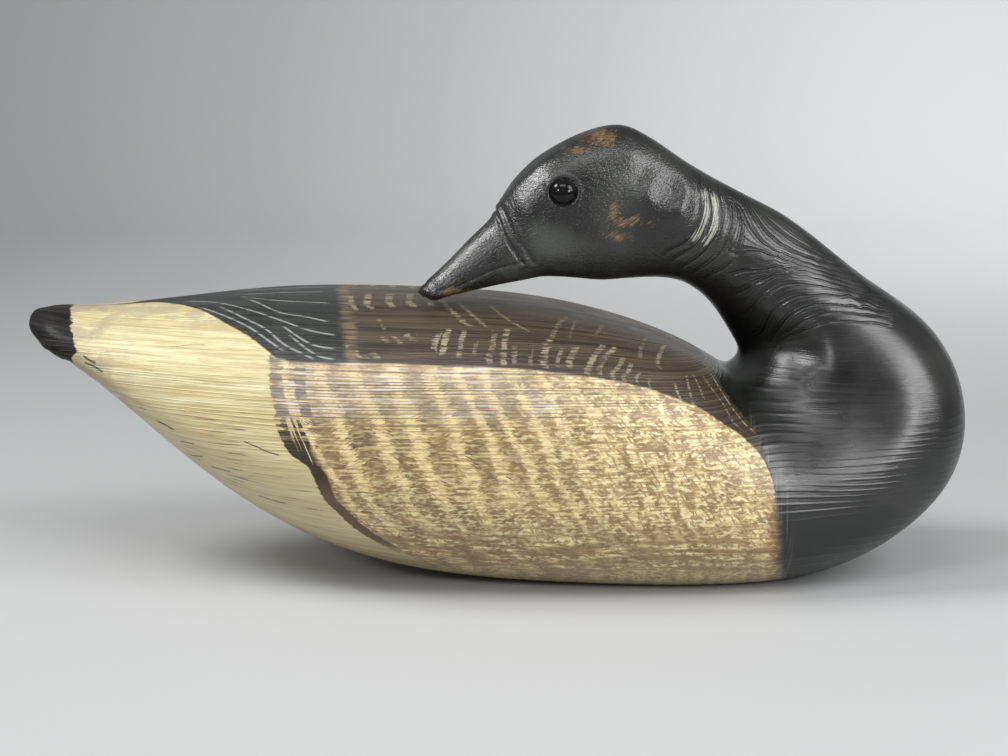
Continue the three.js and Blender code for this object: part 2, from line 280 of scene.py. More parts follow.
# Roughness of the paint, mixed as greys
ROUGH_WOOD = (0.33, 0.33, 0.33)
ROUGH_TAIL = (0.5, 0.5, 0.5)
ROUGH_BLACK = (0.27, 0.27, 0.27)


def new_object(name, data):
    thing = bpy.data.objects.new(name, data)
    bpy.context.scene.collection.objects.link(thing)
    return thing


def set_inputs(node, values):
    for name, value in values.items():
        node.inputs[name].default_value = value


def new_material(name):
    """A material, and the shader in it."""
    material = bpy.data.materials.new(name)
    material.use_nodes = True
    return material, material.node_tree.nodes["Principled BSDF"]


def plain_material(name, colour, roughness, specular=0.5):
    material, shader = new_material(name)
    look = {"Base Color": (*colour, 1), "Roughness": roughness, "Specular IOR Level": specular}
    set_inputs(shader, look)
    return material


def welded(corners):
    """Makes one point of corners that lie together, and names three points for each triangle."""
    points, where = np.unique(np.round(corners, 6), axis=0, return_inverse=True)
    return points, where.reshape(-1, 3)


def triangle_corners(node):
    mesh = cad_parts[node].data
    mesh.calc_loop_triangles()
    numbers = np.zeros(len(mesh.loop_triangles) * 3, int)
    mesh.loop_triangles.foreach_get("vertices", numbers)
    places = np.zeros(len(mesh.vertices) * 3)
    mesh.vertices.foreach_get("co", places)
    return places.reshape(-1, 3)[numbers]


def ring_rows(points, triangles):
    """Point numbers of the rings between the two points where a lofted skin closes."""
    across = {}
    for a, b, c in triangles.tolist():
        across[a, b], across[b, c], across[c, a] = c, a, b
    touching = np.bincount(triangles.ravel())
    start, end = sorted(np.argsort(touching)[-2:].tolist(), key=lambda pole: points[pole][0])
    around = [next(b for a, b in across if a == start)]
    while across[start, around[-1]] != around[0]:
        around.append(across[start, around[-1]])
    top = int(np.argmax(points[around, 2]))
    rows = [around[top:] + around[:top]]
    while rows[-1][0] != end:
        here = rows[-1]
        rows.append([across[here[step], here[step - 1]] for step in range(len(here))])
    return np.array([[start] * len(around)] + rows)


def spline(knots, values, at):
    """A natural cubic spline through rows of values."""
    gap = np.diff(knots)
    rise = np.diff(values, axis=0) / gap[:, None]
    system = np.diag(np.r_[1, 2 * (gap[:-1] + gap[1:]), 1])
    inner = np.arange(1, len(knots) - 1)
    system[inner, inner - 1], system[inner, inner + 1] = gap[:-1], gap[1:]
    bend = np.zeros_like(values)
    bend[1:-1] = 6 * np.diff(rise, axis=0)
    bend = solve(system, bend)
    span = np.clip(np.searchsorted(knots, at, side="right") - 1, 0, len(gap) - 1)
    width = gap[span][:, None]
    after = (at - knots[span])[:, None] / width
    before = 1 - after
    bent = (before**3 - before) * bend[span] + (after**3 - after) * bend[span + 1]
    return before * values[span] + after * values[span + 1] + width**2 / 6 * bent


def smooth_line(line, samples):
    """Evenly spaced places on a smooth line through points that are given in millimetres."""
    line = np.array(line) * MM
    knots = np.r_[0, np.cumsum(norm(np.diff(line, axis=0), axis=1))]
    return spline(knots, line, np.linspace(0, 1, samples) * knots[-1])


def smoothstep(value, low, high):
    """Goes softly from 0 at low to 1 at high."""
    share = np.clip((value - low) / (high - low), 0, 1)
    return share * share * (3 - 2 * share)


def bell(away, width):
    """1 at no distance, falling off softly over the width."""
    return np.exp(-((away / width) ** 2))


def along(pairs, value):
    """Reads a line given as pairs."""
    known, wanted = zip(*sorted(pairs))
    return np.interp(value, known, wanted)


def count_lines(value, lines):
    """The number of the line that a value falls on, with shares between two and beyond the ends."""
    number = 0
    for near, far in zip(lines, lines[1:]):
        share = (value - near) / (far - near)
        low = -9 if near is lines[0] else 0
        high = 9 if far is lines[-1] else 1
        number = number + np.clip(share, low, high)
    return number


class Skin:
    """The carving's skin as a fine grid of rings, with the measures that relief and paint go by."""

    def __init__(self):
        points, triangles = welded(triangle_corners("carved_goose"))
        coarse = points[ring_rows(points, triangles)]
        for _ in range(STEP_SMOOTHING):
            coarse[2:-2] = (coarse[1:-3] + 2 * coarse[2:-2] + coarse[3:-1]) / 4
        gaps = norm(np.diff(coarse, axis=0), axis=2).mean(axis=1)
        knots = np.r_[0, np.cumsum(gaps)]
        middle = np.r_[0, np.cumsum(norm(np.diff(coarse.mean(axis=1), axis=0), axis=1))]
        spacing = along(RING_SPACING.items(), middle[1:])
        steps = np.maximum(1, np.round(gaps / spacing)).astype(int)
        spans = zip(knots, knots[1:], steps)
        at = np.concatenate([np.linspace(a, b, count, endpoint=False) for a, b, count in spans])
        at = np.r_[at, knots[-1]]
        rings, around = coarse.shape[:2]
        fine = spline(knots, coarse.reshape(rings, -1), at).reshape(len(at), around, 3)
        wrap = 4  # points taken on from the other end, so that the ring closes without a kink
        turned = np.concatenate([fine[:, -wrap:], fine, fine[:, :wrap]], axis=1).transpose(1, 0, 2)
        angles = np.arange(POINTS_AROUND) * around / POINTS_AROUND
        fine = spline(np.arange(-wrap, around + wrap), turned.reshape(len(turned), -1), angles)
        self.points = fine.reshape(POINTS_AROUND, len(at), 3).transpose(1, 0, 2)
        self.points[..., 2] = np.maximum(self.points[..., 2], 0)
        self.way = np.repeat(np.interp(at, knots, middle)[:, None], POINTS_AROUND, axis=1)
        self.rest = self.points.copy()
        self.x, self.y, self.z = np.moveaxis(self.rest, 2, 0)
        self.down = self.way_down()
        self.level = self.even_level()

    def way_down(self):
        """How far each point is from the inner line, round its ring, by the shorter way."""
        closed = np.concatenate([self.points, self.points[:, :1]], axis=1)
        steps = norm(np.diff(closed, axis=1), axis=2)
        one_way = np.concatenate([np.zeros((len(steps), 1)), np.cumsum(steps, axis=1)[:, :-1]], axis=1)
        return np.minimum(one_way, steps.sum(axis=1)[:, None] - one_way)

    def even_level(self):
        """Height on the sides, carried on evenly over the back and belly, for the combed grain."""
        widest = np.argmax(np.abs(self.y[:, : POINTS_AROUND // 2]), axis=1)
        row = np.arange(len(self.y))
        rolled = self.z[row, widest][:, None] + self.down[row, widest][:, None] - self.down
        return rolled + (self.z - rolled) * smoothstep(self.way, *BODY_INTO_BREAST)

    def normals(self):
        wide = np.concatenate([self.points[:, -1:], self.points, self.points[:, :1]], axis=1)
        around = wide[:, 2:] - wide[:, :-2]
        lengthwise = np.gradient(self.points, axis=0)
        normal = np.cross(around, lengthwise)
        normal /= norm(normal, axis=2, keepdims=True) + 1e-12
        outward = self.points - self.points.mean(axis=1, keepdims=True)
        return normal * np.sign((normal * outward).sum(axis=(1, 2), keepdims=True))

    def raise_by(self, height):
        self.points += self.normals() * height[..., None]
        self.points[..., 2] = np.maximum(self.points[..., 2], 0)

    def from_line(self, line, samples=24):
        """Distance in the side view to a smooth line, and the share of the line passed there."""
        curve = smooth_line(line, samples)
        away = np.hypot(self.x[..., None] - curve[:, 0], self.z[..., None] - curve[:, 1])
        return away.min(axis=2), np.linspace(0, 1, samples)[away.argmin(axis=2)]


def flow(skin, lines, reach=0.005):
    """A smooth number that is 0 on the first line, 1 on the next and so on, and where it holds."""
    samples = 9
    spots, numbers = [], []
    for number, line in enumerate(lines):
        spots.append(smooth_line(line, samples))
        numbers += [number] * samples
    spots = np.concatenate(spots)

    def bend(away):
        return away**2 * np.log(away + 1e-9)

    flat = np.c_[np.ones(len(spots)), spots]
    apart = norm(spots[:, None] - spots, axis=2)
    system = np.block([[bend(apart) + 1e-7 * np.eye(len(spots)), flat], [flat.T, np.zeros((3, 3))]])
    weights = solve(system, np.r_[numbers, 0, 0, 0])
    near = (skin.way > NECK[0]) & (skin.way < NECK[1])
    places = np.stack([skin.x[near], skin.z[near]], axis=1)
    away = norm(places[:, None] - spots, axis=2)
    number, hold = np.zeros_like(skin.x), np.zeros_like(skin.x)
    number[near] = bend(away) @ weights[:-3] + np.c_[np.ones(len(places)), places] @ weights[-3:]
    hold[near] = smoothstep(away.min(axis=1), reach * 1.6, reach * 0.6)
    from_nape = skin.down.max(axis=1, keepdims=True) - skin.down
    hold *= smoothstep(from_nape, 0.006, 0.022) * smoothstep(skin.down, 0.004, 0.015)
    hold *= smoothstep(number, -0.7, -0.2) * smoothstep(number, len(lines) - 0.3, len(lines) - 0.8)
    return number, hold


def carve_folds(number, hold):
    """Folds of the neck's skin: a groove on each line of the flow, and a rounded pleat between two."""
    depth, groove_share, pleat_rise = 0.0007, 0.3, 0.25
    from_line = np.abs(number - np.round(number))
    return depth * hold * (smoothstep(from_line, 0, groove_share) - 1 + pleat_rise)


def carve_head(skin):
    """Lines of the bill and brow, creases at the root of the neck, and the knife's slanting cuts."""
    cuts = (  # line, depth, half width, height of the lips beside it, and where it starts to fade
        (BILL_SEAM, 0.0013, 0.0009, 0.0003, 1), (BILL_RIDGE, 0.0006, 0.0011, 0.0002, 1),
        (MOUTH, 0.0009, 0.0009, 0.0001, 0.7), (NAIL, 0.0004, 0.0012, 0.0001, 1),
        (BROW, -0.0010, 0.0022, 0, 0.7), (CREASE, 0.0006, 0.0011, 0, 0.6),
        (SMALL_CREASE, 0.00015, 0.0016, 0, 0.6),
    )
    fade_length, lip_place = 0.4, 2.4
    flat_share, edge_share = 0.5, 1.7
    height = np.zeros_like(skin.x)
    past_body = skin.way > BREAST_TURN
    for line, depth, width, lip, fading in cuts:
        away, share = skin.from_line(line)
        fade = past_body * (1 - smoothstep(share, fading, fading + fade_length))
        height += fade * (lip * bell(away - lip_place * width, width) - depth * bell(away, width))
    for x, z, half, forward, upward in FACETS:
        ahead, above = skin.x - x * MM, skin.z - z * MM
        flat = smoothstep(np.hypot(ahead, above), half * MM * edge_share, half * MM * flat_share)
        height += past_body * flat * (forward * ahead + upward * above)
    return height


def swell(skin, swells):
    """Round swells of both sides, or hollows where the height is below zero."""
    height = np.zeros_like(skin.x)
    for x, z, radius, rise in np.array(swells) * MM:
        height += rise * bell(np.hypot(skin.x - x, skin.z - z), radius)
    return height


def eye_places():
    """Middle of the flat back, top of the dome and radius of each glass eye."""
    places = {}
    for name in ("left_eye", "right_eye"):
        points, triangles = welded(triangle_corners(name))
        rows = points[ring_rows(points, triangles)]
        radius = norm(rows - rows.mean(axis=1, keepdims=True), axis=2).max()
        ends = [rows[0, 0], rows[-1, 0]]
        beside = (rows[1], rows[-2])
        reach = [norm(ring - end, axis=1).mean() for ring, end in zip(beside, ends)]
        back, top = ends if reach[0] > reach[1] else ends[::-1]
        places[name] = (back, top, radius)
    return places


def carve_lids(skin, eyes):
    """A soft edge of wood standing round each eye, over a groove at the edge of the glass."""
    lid, lid_away, lid_width, groove, groove_width = 0.0006, 0.0018, 0.0014, 0.0008, 0.0010
    height = np.zeros_like(skin.x)
    for back, top, radius in eyes.values():
        axis = (top - back) / norm(top - back)
        away = skin.rest - back
        depth = away @ axis
        around = norm(away - depth[..., None] * axis, axis=2)
        near = np.abs(depth) < radius
        height += near * lid * bell(around - radius - lid_away, lid_width)
        height -= near * groove * bell(around - radius, groove_width)
    return height


def drawn_row(lengthwise, across, lines, name):
    """Counts the lines of a row, with even steps between them, and gives their width, share and ends."""
    longest_step = 0.006
    at, inside = [], []
    for _, _, points in lines:
        far, near = np.array(points).T * MM
        at.append(np.interp(lengthwise, near, far))
        inside.append(np.minimum(lengthwise - near[0], near[-1] - lengthwise))
    gap = np.pad(np.diff(at, axis=0), ((1, 1), (0, 0), (0, 0)), constant_values=longest_step)
    step = np.minimum(np.minimum(gap[:-1], gap[1:]), longest_step)
    number = np.clip((across - at) / step + 0.5, 0, 1).sum(axis=0) - 0.5
    nearest = np.clip(np.round(number), 0, len(lines) - 1).astype(int)
    width, share = (np.array([line[part] for line in lines])[nearest] for part in (0, 1))

    def of_nearest(rows):
        return np.take_along_axis(np.array(rows), nearest[None], axis=0)[0]

    return {
        name: number, name + "_wide": width * MM / of_nearest(step),
        name + "_inside": of_nearest(inside), name + "_share": share,
    }


def wing_lines(skin):
    """How far each point is from each pale line of the wings, across the line."""
    measures = {}
    for number, line in enumerate(WING_LINES):
        x, down = np.array(line).T * MM
        fine_x = np.linspace(x[0], x[-1], 40)
        fine_down = spline(x, down[:, None], fine_x)[:, 0]
        slope = np.gradient(fine_down, fine_x)
        across = skin.down - np.interp(skin.x, fine_x, fine_down)
        measures[f"wing_line_{number}"] = across / np.hypot(1, np.interp(skin.x, fine_x, slope))
    return measures


def spot(skin, x, z, half_x, half_z, strength):
    """A soft spot on both sides, with its measures in millimetres."""
    return strength * bell(np.hypot((skin.x / MM - x) / half_x, (skin.z / MM - z) / half_z), 1)


def bare_places(skin):
    """How far the paint is rubbed down to the wood."""
    bare = np.zeros_like(skin.x)
    for part, places in ((skin.way > NECK[0], BARE_ON_HEAD), (skin.way < TAIL, BARE_ON_TAIL)):
        for place in places:
            bare = np.maximum(bare, part * spot(skin, *place))
    return bare


def chalk_strokes(skin):
    """The off-white strokes, on the side of the head that is towards the camera."""
    chalk = np.zeros_like(skin.x)
    for line in CHALK_STROKES:
        away, share = skin.from_line(line)
        ends = smoothstep(share, 0, 0.2) * smoothstep(share, 1, 0.85)
        chalk = np.maximum(chalk, bell(away, CHALK_WIDTH) * ends)
    return chalk * (skin.y < 0) * (skin.way > NECK_INTO_HEAD[0])


def painted_shade_places(skin):
    """Painted shade: the hollow inner side of the neck and a spot at its root, where the black is painted
    darker and is dull.
    """
    inner = smoothstep(skin.way, NECK[0], NECK[0] + 0.04) * (1 - smoothstep(skin.way, *NECK_INTO_HEAD))
    return np.maximum(inner * smoothstep(skin.down, 0.055, 0.012), spot(skin, *PAINTED_SHADE_SPOT))


def paint_measures(skin, hollow, folds):
    """What the paint goes by, for each point of the skin."""
    heights = np.array(list(BARS_AT_HEIGHT)) * MM
    bars = [along(zip(heights, np.array(bar) * MM), skin.z) for bar in zip(*BARS_AT_HEIGHT.values())]
    along_side = skin.x + HIDDEN_EDGE_LAG * smoothstep(skin.y, -0.004, 0.006)
    wholly_black = 0.05
    measures = {
        "way": skin.way, "down": skin.down, "level": skin.level, "hollow": hollow,
        "below_side": skin.down - along(DOWN_OF_SIDE, along_side),
        "past_breast": skin.x - along(X_OF_BREAST, skin.z),
        "past_flank": skin.x - along(X_OF_FLANK, skin.z),
        "past_tail": skin.x - along(X_OF_TAIL, skin.down),
        "bar": count_lines(skin.x, bars), "bare": bare_places(skin), "painted_shade": painted_shade_places(skin),
        "chalk": chalk_strokes(skin),
    }
    measures["past_breast"][skin.way > BODY_INTO_BREAST[1]] = wholly_black
    for name, row in (("upper_fleck", UPPER_FLECKS), ("lower_fleck", LOWER_FLECKS)):
        measures |= drawn_row(skin.down, skin.x, row, name)
    for number, row in enumerate(RUMP_CRACKS):
        cracks = [(width, share, [(z, x) for x, z in points]) for width, share, points in row]
        measures |= drawn_row(skin.x, skin.z, cracks, f"crack_{number}")
    for name, (number, hold) in folds.items():
        measures |= {name: number, name + "_hold": hold}
    return measures | wing_lines(skin)


def ring_faces(rings, around):
    """Faces of four points between each ring of points and the next."""
    number = np.arange(rings * around).reshape(rings, around)
    following = np.roll(number, -1, axis=1)
    faces = np.stack([number[:-1], following[:-1], following[1:], number[1:]], axis=-1)
    return faces.reshape(-1, 4).tolist()


def skin_mesh(skin, measures):
    """The grid as a mesh, with the measures for its paint kept as attributes."""
    mesh = bpy.data.meshes.new("goose_carving")
    mesh.from_pydata(skin.points.reshape(-1, 3).tolist(), [], ring_faces(len(skin.points), POINTS_AROUND))
    for name, values in measures.items():
        attribute = mesh.attributes.new(name, "FLOAT", "POINT")
        attribute.data.foreach_set("value", values.astype(np.float32).ravel())
    mesh.validate()
    mesh.shade_smooth()
    return mesh


class Shade:
    """A number or colour that the shader works out at each point of a surface."""

    def __init__(self, tree, socket):
        self.tree, self.socket = tree, socket

    def feed(self, target, value):
        if isinstance(value, Shade):
            self.tree.links.new(value.socket, target)
        elif isinstance(value, tuple):
            target.default_value = (*value, 1)
        else:
            target.default_value = value

    def math(self, operation, *others):
        node = self.tree.nodes.new("ShaderNodeMath")
        node.operation = operation
        for target, value in zip(node.inputs, (self, *others)):
            self.feed(target, value)
        return Shade(self.tree, node.outputs[0])

    def __add__(self, other):
        return self.math("ADD", other)

    def __sub__(self, other):
        return self.math("SUBTRACT", other)

    def __mul__(self, other):
        return self.math("MULTIPLY", other)

    def flip(self):
        """What is left of one."""
        return (self * -1) + 1

    def most(self, other):
        return self.math("MAXIMUM", other)

    def size(self):
        return self.math("ABSOLUTE")

    def from_whole(self):
        """Distance to the nearest whole number."""
        return self.math("PINGPONG", 0.5)

    def step(self, low, high):
        """Goes softly from 0 at low to 1 at high."""
        node = self.tree.nodes.new("ShaderNodeMapRange")
        node.interpolation_type = "SMOOTHSTEP"
        self.feed(node.inputs["Value"], self)
        set_inputs(node, {"From Min": low, "From Max": high})
        return Shade(self.tree, node.outputs["Result"])

    def mix(self, low, high):
        """A colour from low, where this is 0, to high, where it is 1."""
        low_colour, high_colour, mixed = 6, 7, 2  # their places among the node's sockets
        node = self.tree.nodes.new("ShaderNodeMix")
        node.data_type = "RGBA"
        self.feed(node.inputs["Factor"], self)
        self.feed(node.inputs[low_colour], low)
        self.feed(node.inputs[high_colour], high)
        return Shade(self.tree, node.outputs[mixed])


class Paint:
    """The measures of the skin inside a material, and the textures that its paint is made with."""

    def __init__(self, name):
        self.material, self.shader = new_material(name)
        self.tree = self.material.node_tree
        split = self.tree.nodes.new("ShaderNodeSeparateXYZ")
        place = self.tree.nodes.new("ShaderNodeTexCoord")
        self.tree.links.new(place.outputs["Object"], split.inputs[0])
        self.place = Shade(self.tree, place.outputs["Object"])
        self.x, self.y, self.z = (Shade(self.tree, output) for output in split.outputs)
        self.way, self.down, self.level = (self.measure(name) for name in ("way", "down", "level"))
        other_noise = 7  # shift of the noise on the hidden side, without a seam on the breast
        self.side = self.y.step(-0.001, 0.001) * self.x.step(0.2, 0.15) * other_noise
        past_breast = self.measure("past_breast") + (self.streaks(60, 620, 0.9, 1) - 0.5) * 0.003
        low_down = self.z.step(0.075, 0.05)
        sharp, soft = past_breast.step(-0.001, 0.001), past_breast.step(-0.007, 0.003)
        self.black = low_down.mix(sharp, soft)
        self.head = self.way.step(*NECK_INTO_HEAD)
        combed = self.level * GROOVES_PER_METRE + self.streaks(3, 50, 0.6, 1) * 6
        self.groove = combed.from_whole().step(0.24, 0.02) * self.streaks(9, 260, 0.3, 1).step(0.32, 0.6)

    def measure(self, name):
        node = self.tree.nodes.new("ShaderNodeAttribute")
        node.attribute_name = name
        return Shade(self.tree, node.outputs["Fac"])

    def vector(self, x, y, z):
        node = self.tree.nodes.new("ShaderNodeCombineXYZ")
        for target, value in zip(node.inputs, (x, y, z)):
            self.x.feed(target, value)
        return Shade(self.tree, node.outputs[0])

    def noise(self, vector, scale=1.0, detail=2.0, rough=0.5):
        node = self.tree.nodes.new("ShaderNodeTexNoise")
        self.tree.links.new(vector.socket, node.inputs["Vector"])
        set_inputs(node, {"Scale": scale, "Detail": detail, "Roughness": rough})
        return Shade(self.tree, node.outputs["Fac"])

    def streaks(self, lengthwise, crosswise, shift=0.0, detail=2.0):
        """Noise drawn out along the combed grain, with so many features in each metre."""
        place = self.vector(self.x * lengthwise, self.level * crosswise, self.side + shift)
        return self.noise(place, detail=detail)

    def drawn(self, row, ragged):
        """The lines of a row, each with its own width and strength."""
        across = self.measure(row).from_whole().math("DIVIDE", self.measure(row + "_wide")) + ragged
        line = across.step(0.56, 0.38)
        ends = self.measure(row + "_inside").step(-0.0005, 0.001)
        return line * ends * self.measure(row + "_share")

    def strokes(self):
        """Short strokes that lean one way in some places and the other way in others."""
        leaning = self.noise(self.place, 45, 1).step(0.44, 0.56)
        return leaning.mix(self.turned(24, 260, 1300, 1), self.turned(-22, 260, 1300, 1))

    def turned(self, degrees, lengthwise, crosswise, detail=2.0):
        """Noise drawn out in the side view along a line that rises by so many degrees."""
        run, rise = cos(radians(degrees)), sin(radians(degrees))
        forward = self.x * run + self.z * rise
        upward = self.z * run - self.x * rise
        place = self.vector(forward * lengthwise, upward * crosswise, self.y * crosswise)
        return self.noise(place, detail=detail)


def cream_paint(p):
    """Rump and belly: cream over wood grain, greyed and greenish towards the underside and darker towards
    the bottom, with cracks.
    """
    colour = p.streaks(6, 110).step(0.32, 0.68).mix(CREAM_DEEP, CREAM)
    grain = p.streaks(22, 620, 2.2).step(0.46, 0.62)
    fibre = p.streaks(70, 900, 6.4).step(0.5, 0.64)
    colour = (grain * 0.8).most(fibre * 0.6).mix(colour, CREAM_SHADE)
    near_tail = p.x.step(-0.19, -0.235)
    smudge = p.noise(p.place, 70, 5, 0.6).step(0.42, 0.56) * near_tail.most(p.z.step(0.143, 0.152) * 0.7)
    colour = (smudge * 0.8 + near_tail * 0.15).mix(colour, CREAM_GREY)
    low = p.z + (p.streaks(8, 40, 8.2, 1) - 0.5) * 0.03
    # Darker and greener towards the underside, and darker still in streaks at the bottom
    green = low.step(0.115, 0.06).most(p.noise(p.place, 24).step(0.5, 0.62) * low.step(0.135, 0.115))
    colour = (green * 0.5).mix(colour, LOW_GREEN)
    colour = (low.step(0.045, 0.01) * p.streaks(12, 300, 5.2).step(0.3, 0.6) * 0.7).mix(colour, LOW_DARK)
    cuts = p.streaks(45, 900, 3.1, 1).step(0.63, 0.68) * p.noise(p.place, 30).step(0.45, 0.6)
    cuts = cuts * low.step(0.125, 0.11)
    ragged = (p.streaks(160, 900, 1.2, 1) - 0.5) * 0.5
    cracks = p.drawn("crack_0", ragged).most(p.drawn("crack_1", ragged))
    return (cuts * 0.7).most(cracks * 0.9).mix(colour, DIRT)


def flank_paint(p):
    """Flank: brown bars over tan, frayed along the grain, breaking up forwards and downwards, with a
    painted sheen that greys and streaks its upper band.
    """
    fine = p.streaks(300, 1500, 2.3)
    fibre = p.streaks(110, 760, 4.4)
    fray = p.strokes() - 0.5
    drift = p.noise(p.vector(p.x * 36, p.level * 30, p.side)) - 0.5
    patchy = p.noise(p.vector(p.x * 62, p.level * 75, p.side + 3.3), detail=3)
    blots = p.noise(p.vector(p.x * 110, p.level * 330, p.side + 5.1))
    edge = (p.measure("bar") + fray * 0.75 + drift).from_whole()
    lower = p.z.step(0.09, 0.035)
    front = p.x.step(-0.02, 0.08)
    broken = lower.most(front)
    seam = (edge + (fine - 0.5) * 0.4).step(0.26, 0.44)
    ground = (seam * 0.6 + fine * 0.5 + broken * 0.3).step(0.3, 0.85).mix(TAN, TAN_LIGHT)
    ragged = (patchy - 0.5) * (broken * 0.9 + 0.3) + (blots - 0.5) * (broken * 0.8 + 0.15)
    bars = (edge + ragged).step(0.34, 0.22)
    thin = fray.step(-0.16, 0.08)
    brown = (broken * 0.35).mix(patchy.step(0.3, 0.6).mix(BAR_DARK, BAR_BROWN), OCHRE)
    mottle = (blots + (fine - 0.5) * 0.3).step(0.5, 0.6)
    colour = (mottle * (broken * 0.3 + 0.2)).mix(ground, OCHRE)
    colour = (bars * (thin * 0.35 + 0.65) * (front * -0.2 + 1)).mix(colour, brown)
    colour = (fibre.step(0.52, 0.62) * 0.5).mix(colour, TAN_LIGHT)
    colour = (fibre.step(0.48, 0.38) * 0.5).mix(colour, BAR_BROWN)
    glints = p.noise(p.vector(p.x * 260, p.level * 520, p.side + 8.8)).step(0.5, 0.62)
    colour = (glints * (broken * 0.5 + 0.15)).mix(colour, PALE)
    checks = p.turned(-58, 170, 620).step(0.55, 0.62) * broken
    smear = p.streaks(40, 260, 6.1, 3).step(0.4, 0.58) * p.z.step(0.054, 0.034) * p.z.step(0.01, 0.018)
    lines = p.streaks(24, 900, 7.7, 1).step(0.54, 0.64)
    colour = (checks * 0.75).most(lines * 0.5).most(smear * 0.8).mix(colour, BAR_BROWN)
    # Darker and greener towards the bottom
    colour = (p.z.step(0.03, 0.01) * 0.25).mix(colour, LOW_GREEN)
    # Painted sheen: the upper flank, towards the rump, is greyed and streaked pale where it shines
    grey_share = p.z.step(0.1, 0.112) * front.flip()
    colour = (grey_share * 0.3).mix(colour, SHEEN_GREY)
    sheen_streaks = p.streaks(22, 680, 5.9, 1).step(0.5, 0.62) * p.noise(p.place, 34).step(0.35, 0.6)
    colour = (grey_share * sheen_streaks * 0.75).mix(colour, SHEEN_STREAK_PALE)
    return (p.groove * p.z.step(0.09, 0.118) * 0.75).mix(colour, BAR_DARK)


def rear_edge_paint(p, colour):
    """The dark broken bar that closes the flank towards the rump, grey and fainter at its top as a
    painted sheen.
    """
    past = p.measure("past_flank") + (p.streaks(60, 520, 7.1, 1) - 0.5) * 0.003
    upper = p.z.step(0.104, 0.108)
    past = past + upper * -0.003
    bar = past.size().step(0.0043, 0.0032)
    wide_part = (past - 0.005).size().step(0.0075, 0.006)
    wide_part = wide_part * (p.z - past * 1.3).step(0.068, 0.078) * upper.flip()
    second = (past - 0.0132).size().step(0.0036, 0.0026) * upper
    cells = p.groove.most(p.streaks(30, 420, 2.7, 1).step(0.62, 0.44))
    broken = p.z.step(0.1, 0.09).most(cells)
    ends = p.measure("below_side").step(0.0005, 0.0015) * p.z.step(0.022, 0.035)
    # Painted sheen: the bar turns grey at the top, in the shining band of the flank
    brown = upper.mix(p.z.step(0.075, 0.06).mix(BAR_BLACK, BAR_DARK), BAR_SHEEN_GREY)
    colour = (bar.most(wide_part).most(second) * broken * ends * (upper * -0.2 + 1)).mix(colour, brown)
    scratches = p.noise(p.vector(p.x * 620 + p.z * 260, p.level * 45, p.side), detail=1).step(0.56, 0.62)
    scratched = scratches * wide_part * past.step(0.001, 0.004) * p.z.step(0.07, 0.08)
    return (scratched * 0.9).mix(colour, CREAM_DEEP)


def back_paint(p):
    """Back: dark brown, with short pale flecks broken by the grain."""
    colour = p.streaks(9, 430, 4.2).step(0.34, 0.66).mix(UMBER_DARK, UMBER)
    colour = (p.groove * 0.8).mix(colour, UMBER_DARK)
    ragged = (p.streaks(300, 1200, 8.2, 1) - 0.5) * 0.8
    drawn = p.drawn("upper_fleck", ragged).most(p.drawn("lower_fleck", ragged))
    dry = p.streaks(160, 700, 6.6).step(0.34, 0.62)
    fleck = drawn * dry * (p.groove * -0.75 + 1) * 0.85
    return (fleck * 0.85).mix(colour, FLECK)


def wing_paint(p):
    """Folded wings: slate, with long pale lines of feather edges."""
    colour = (p.streaks(10, 380, 5.2).step(0.34, 0.68) * p.groove.flip()).mix(SLATE, SLATE_LIGHT)
    drawn = None
    for number, line in enumerate(WING_LINES):
        start, end = line[0][0] * MM, line[-1][0] * MM
        ends = p.x.step(start - 0.001, start + 0.006) * p.x.step(end + 0.002, end - 0.002)
        mark = p.measure(f"wing_line_{number}").size().step(0.00085, 0.0003) * ends
        drawn = mark if drawn is None else drawn.most(mark)
    worn = p.streaks(60, 600, 9.3, 1).step(0.3, 0.5)
    return (drawn * worn * 0.75).mix(colour, STROKE)


def dark_back_paint(p):
    """Wings, back, and the soft tan band between them."""
    past_wing = p.x + p.down * -WING_EDGE_SLANT - WING_EDGE
    loose = (p.streaks(60, 300, 2.9, 1) - 0.5) * 0.006
    colour = (past_wing + loose).step(-0.002, 0.002).mix(wing_paint(p), back_paint(p))
    band = (past_wing + loose - 0.002).size().step(0.006, 0.001)
    band = band * p.streaks(30, 420, 3.9).step(0.35, 0.65)
    return (band * 0.42).mix(colour, BAND)


def tail_paint(p):
    return p.streaks(30, 380, 6.2).step(0.35, 0.75).mix(TAIL_BLACK, TAIL_WORN)


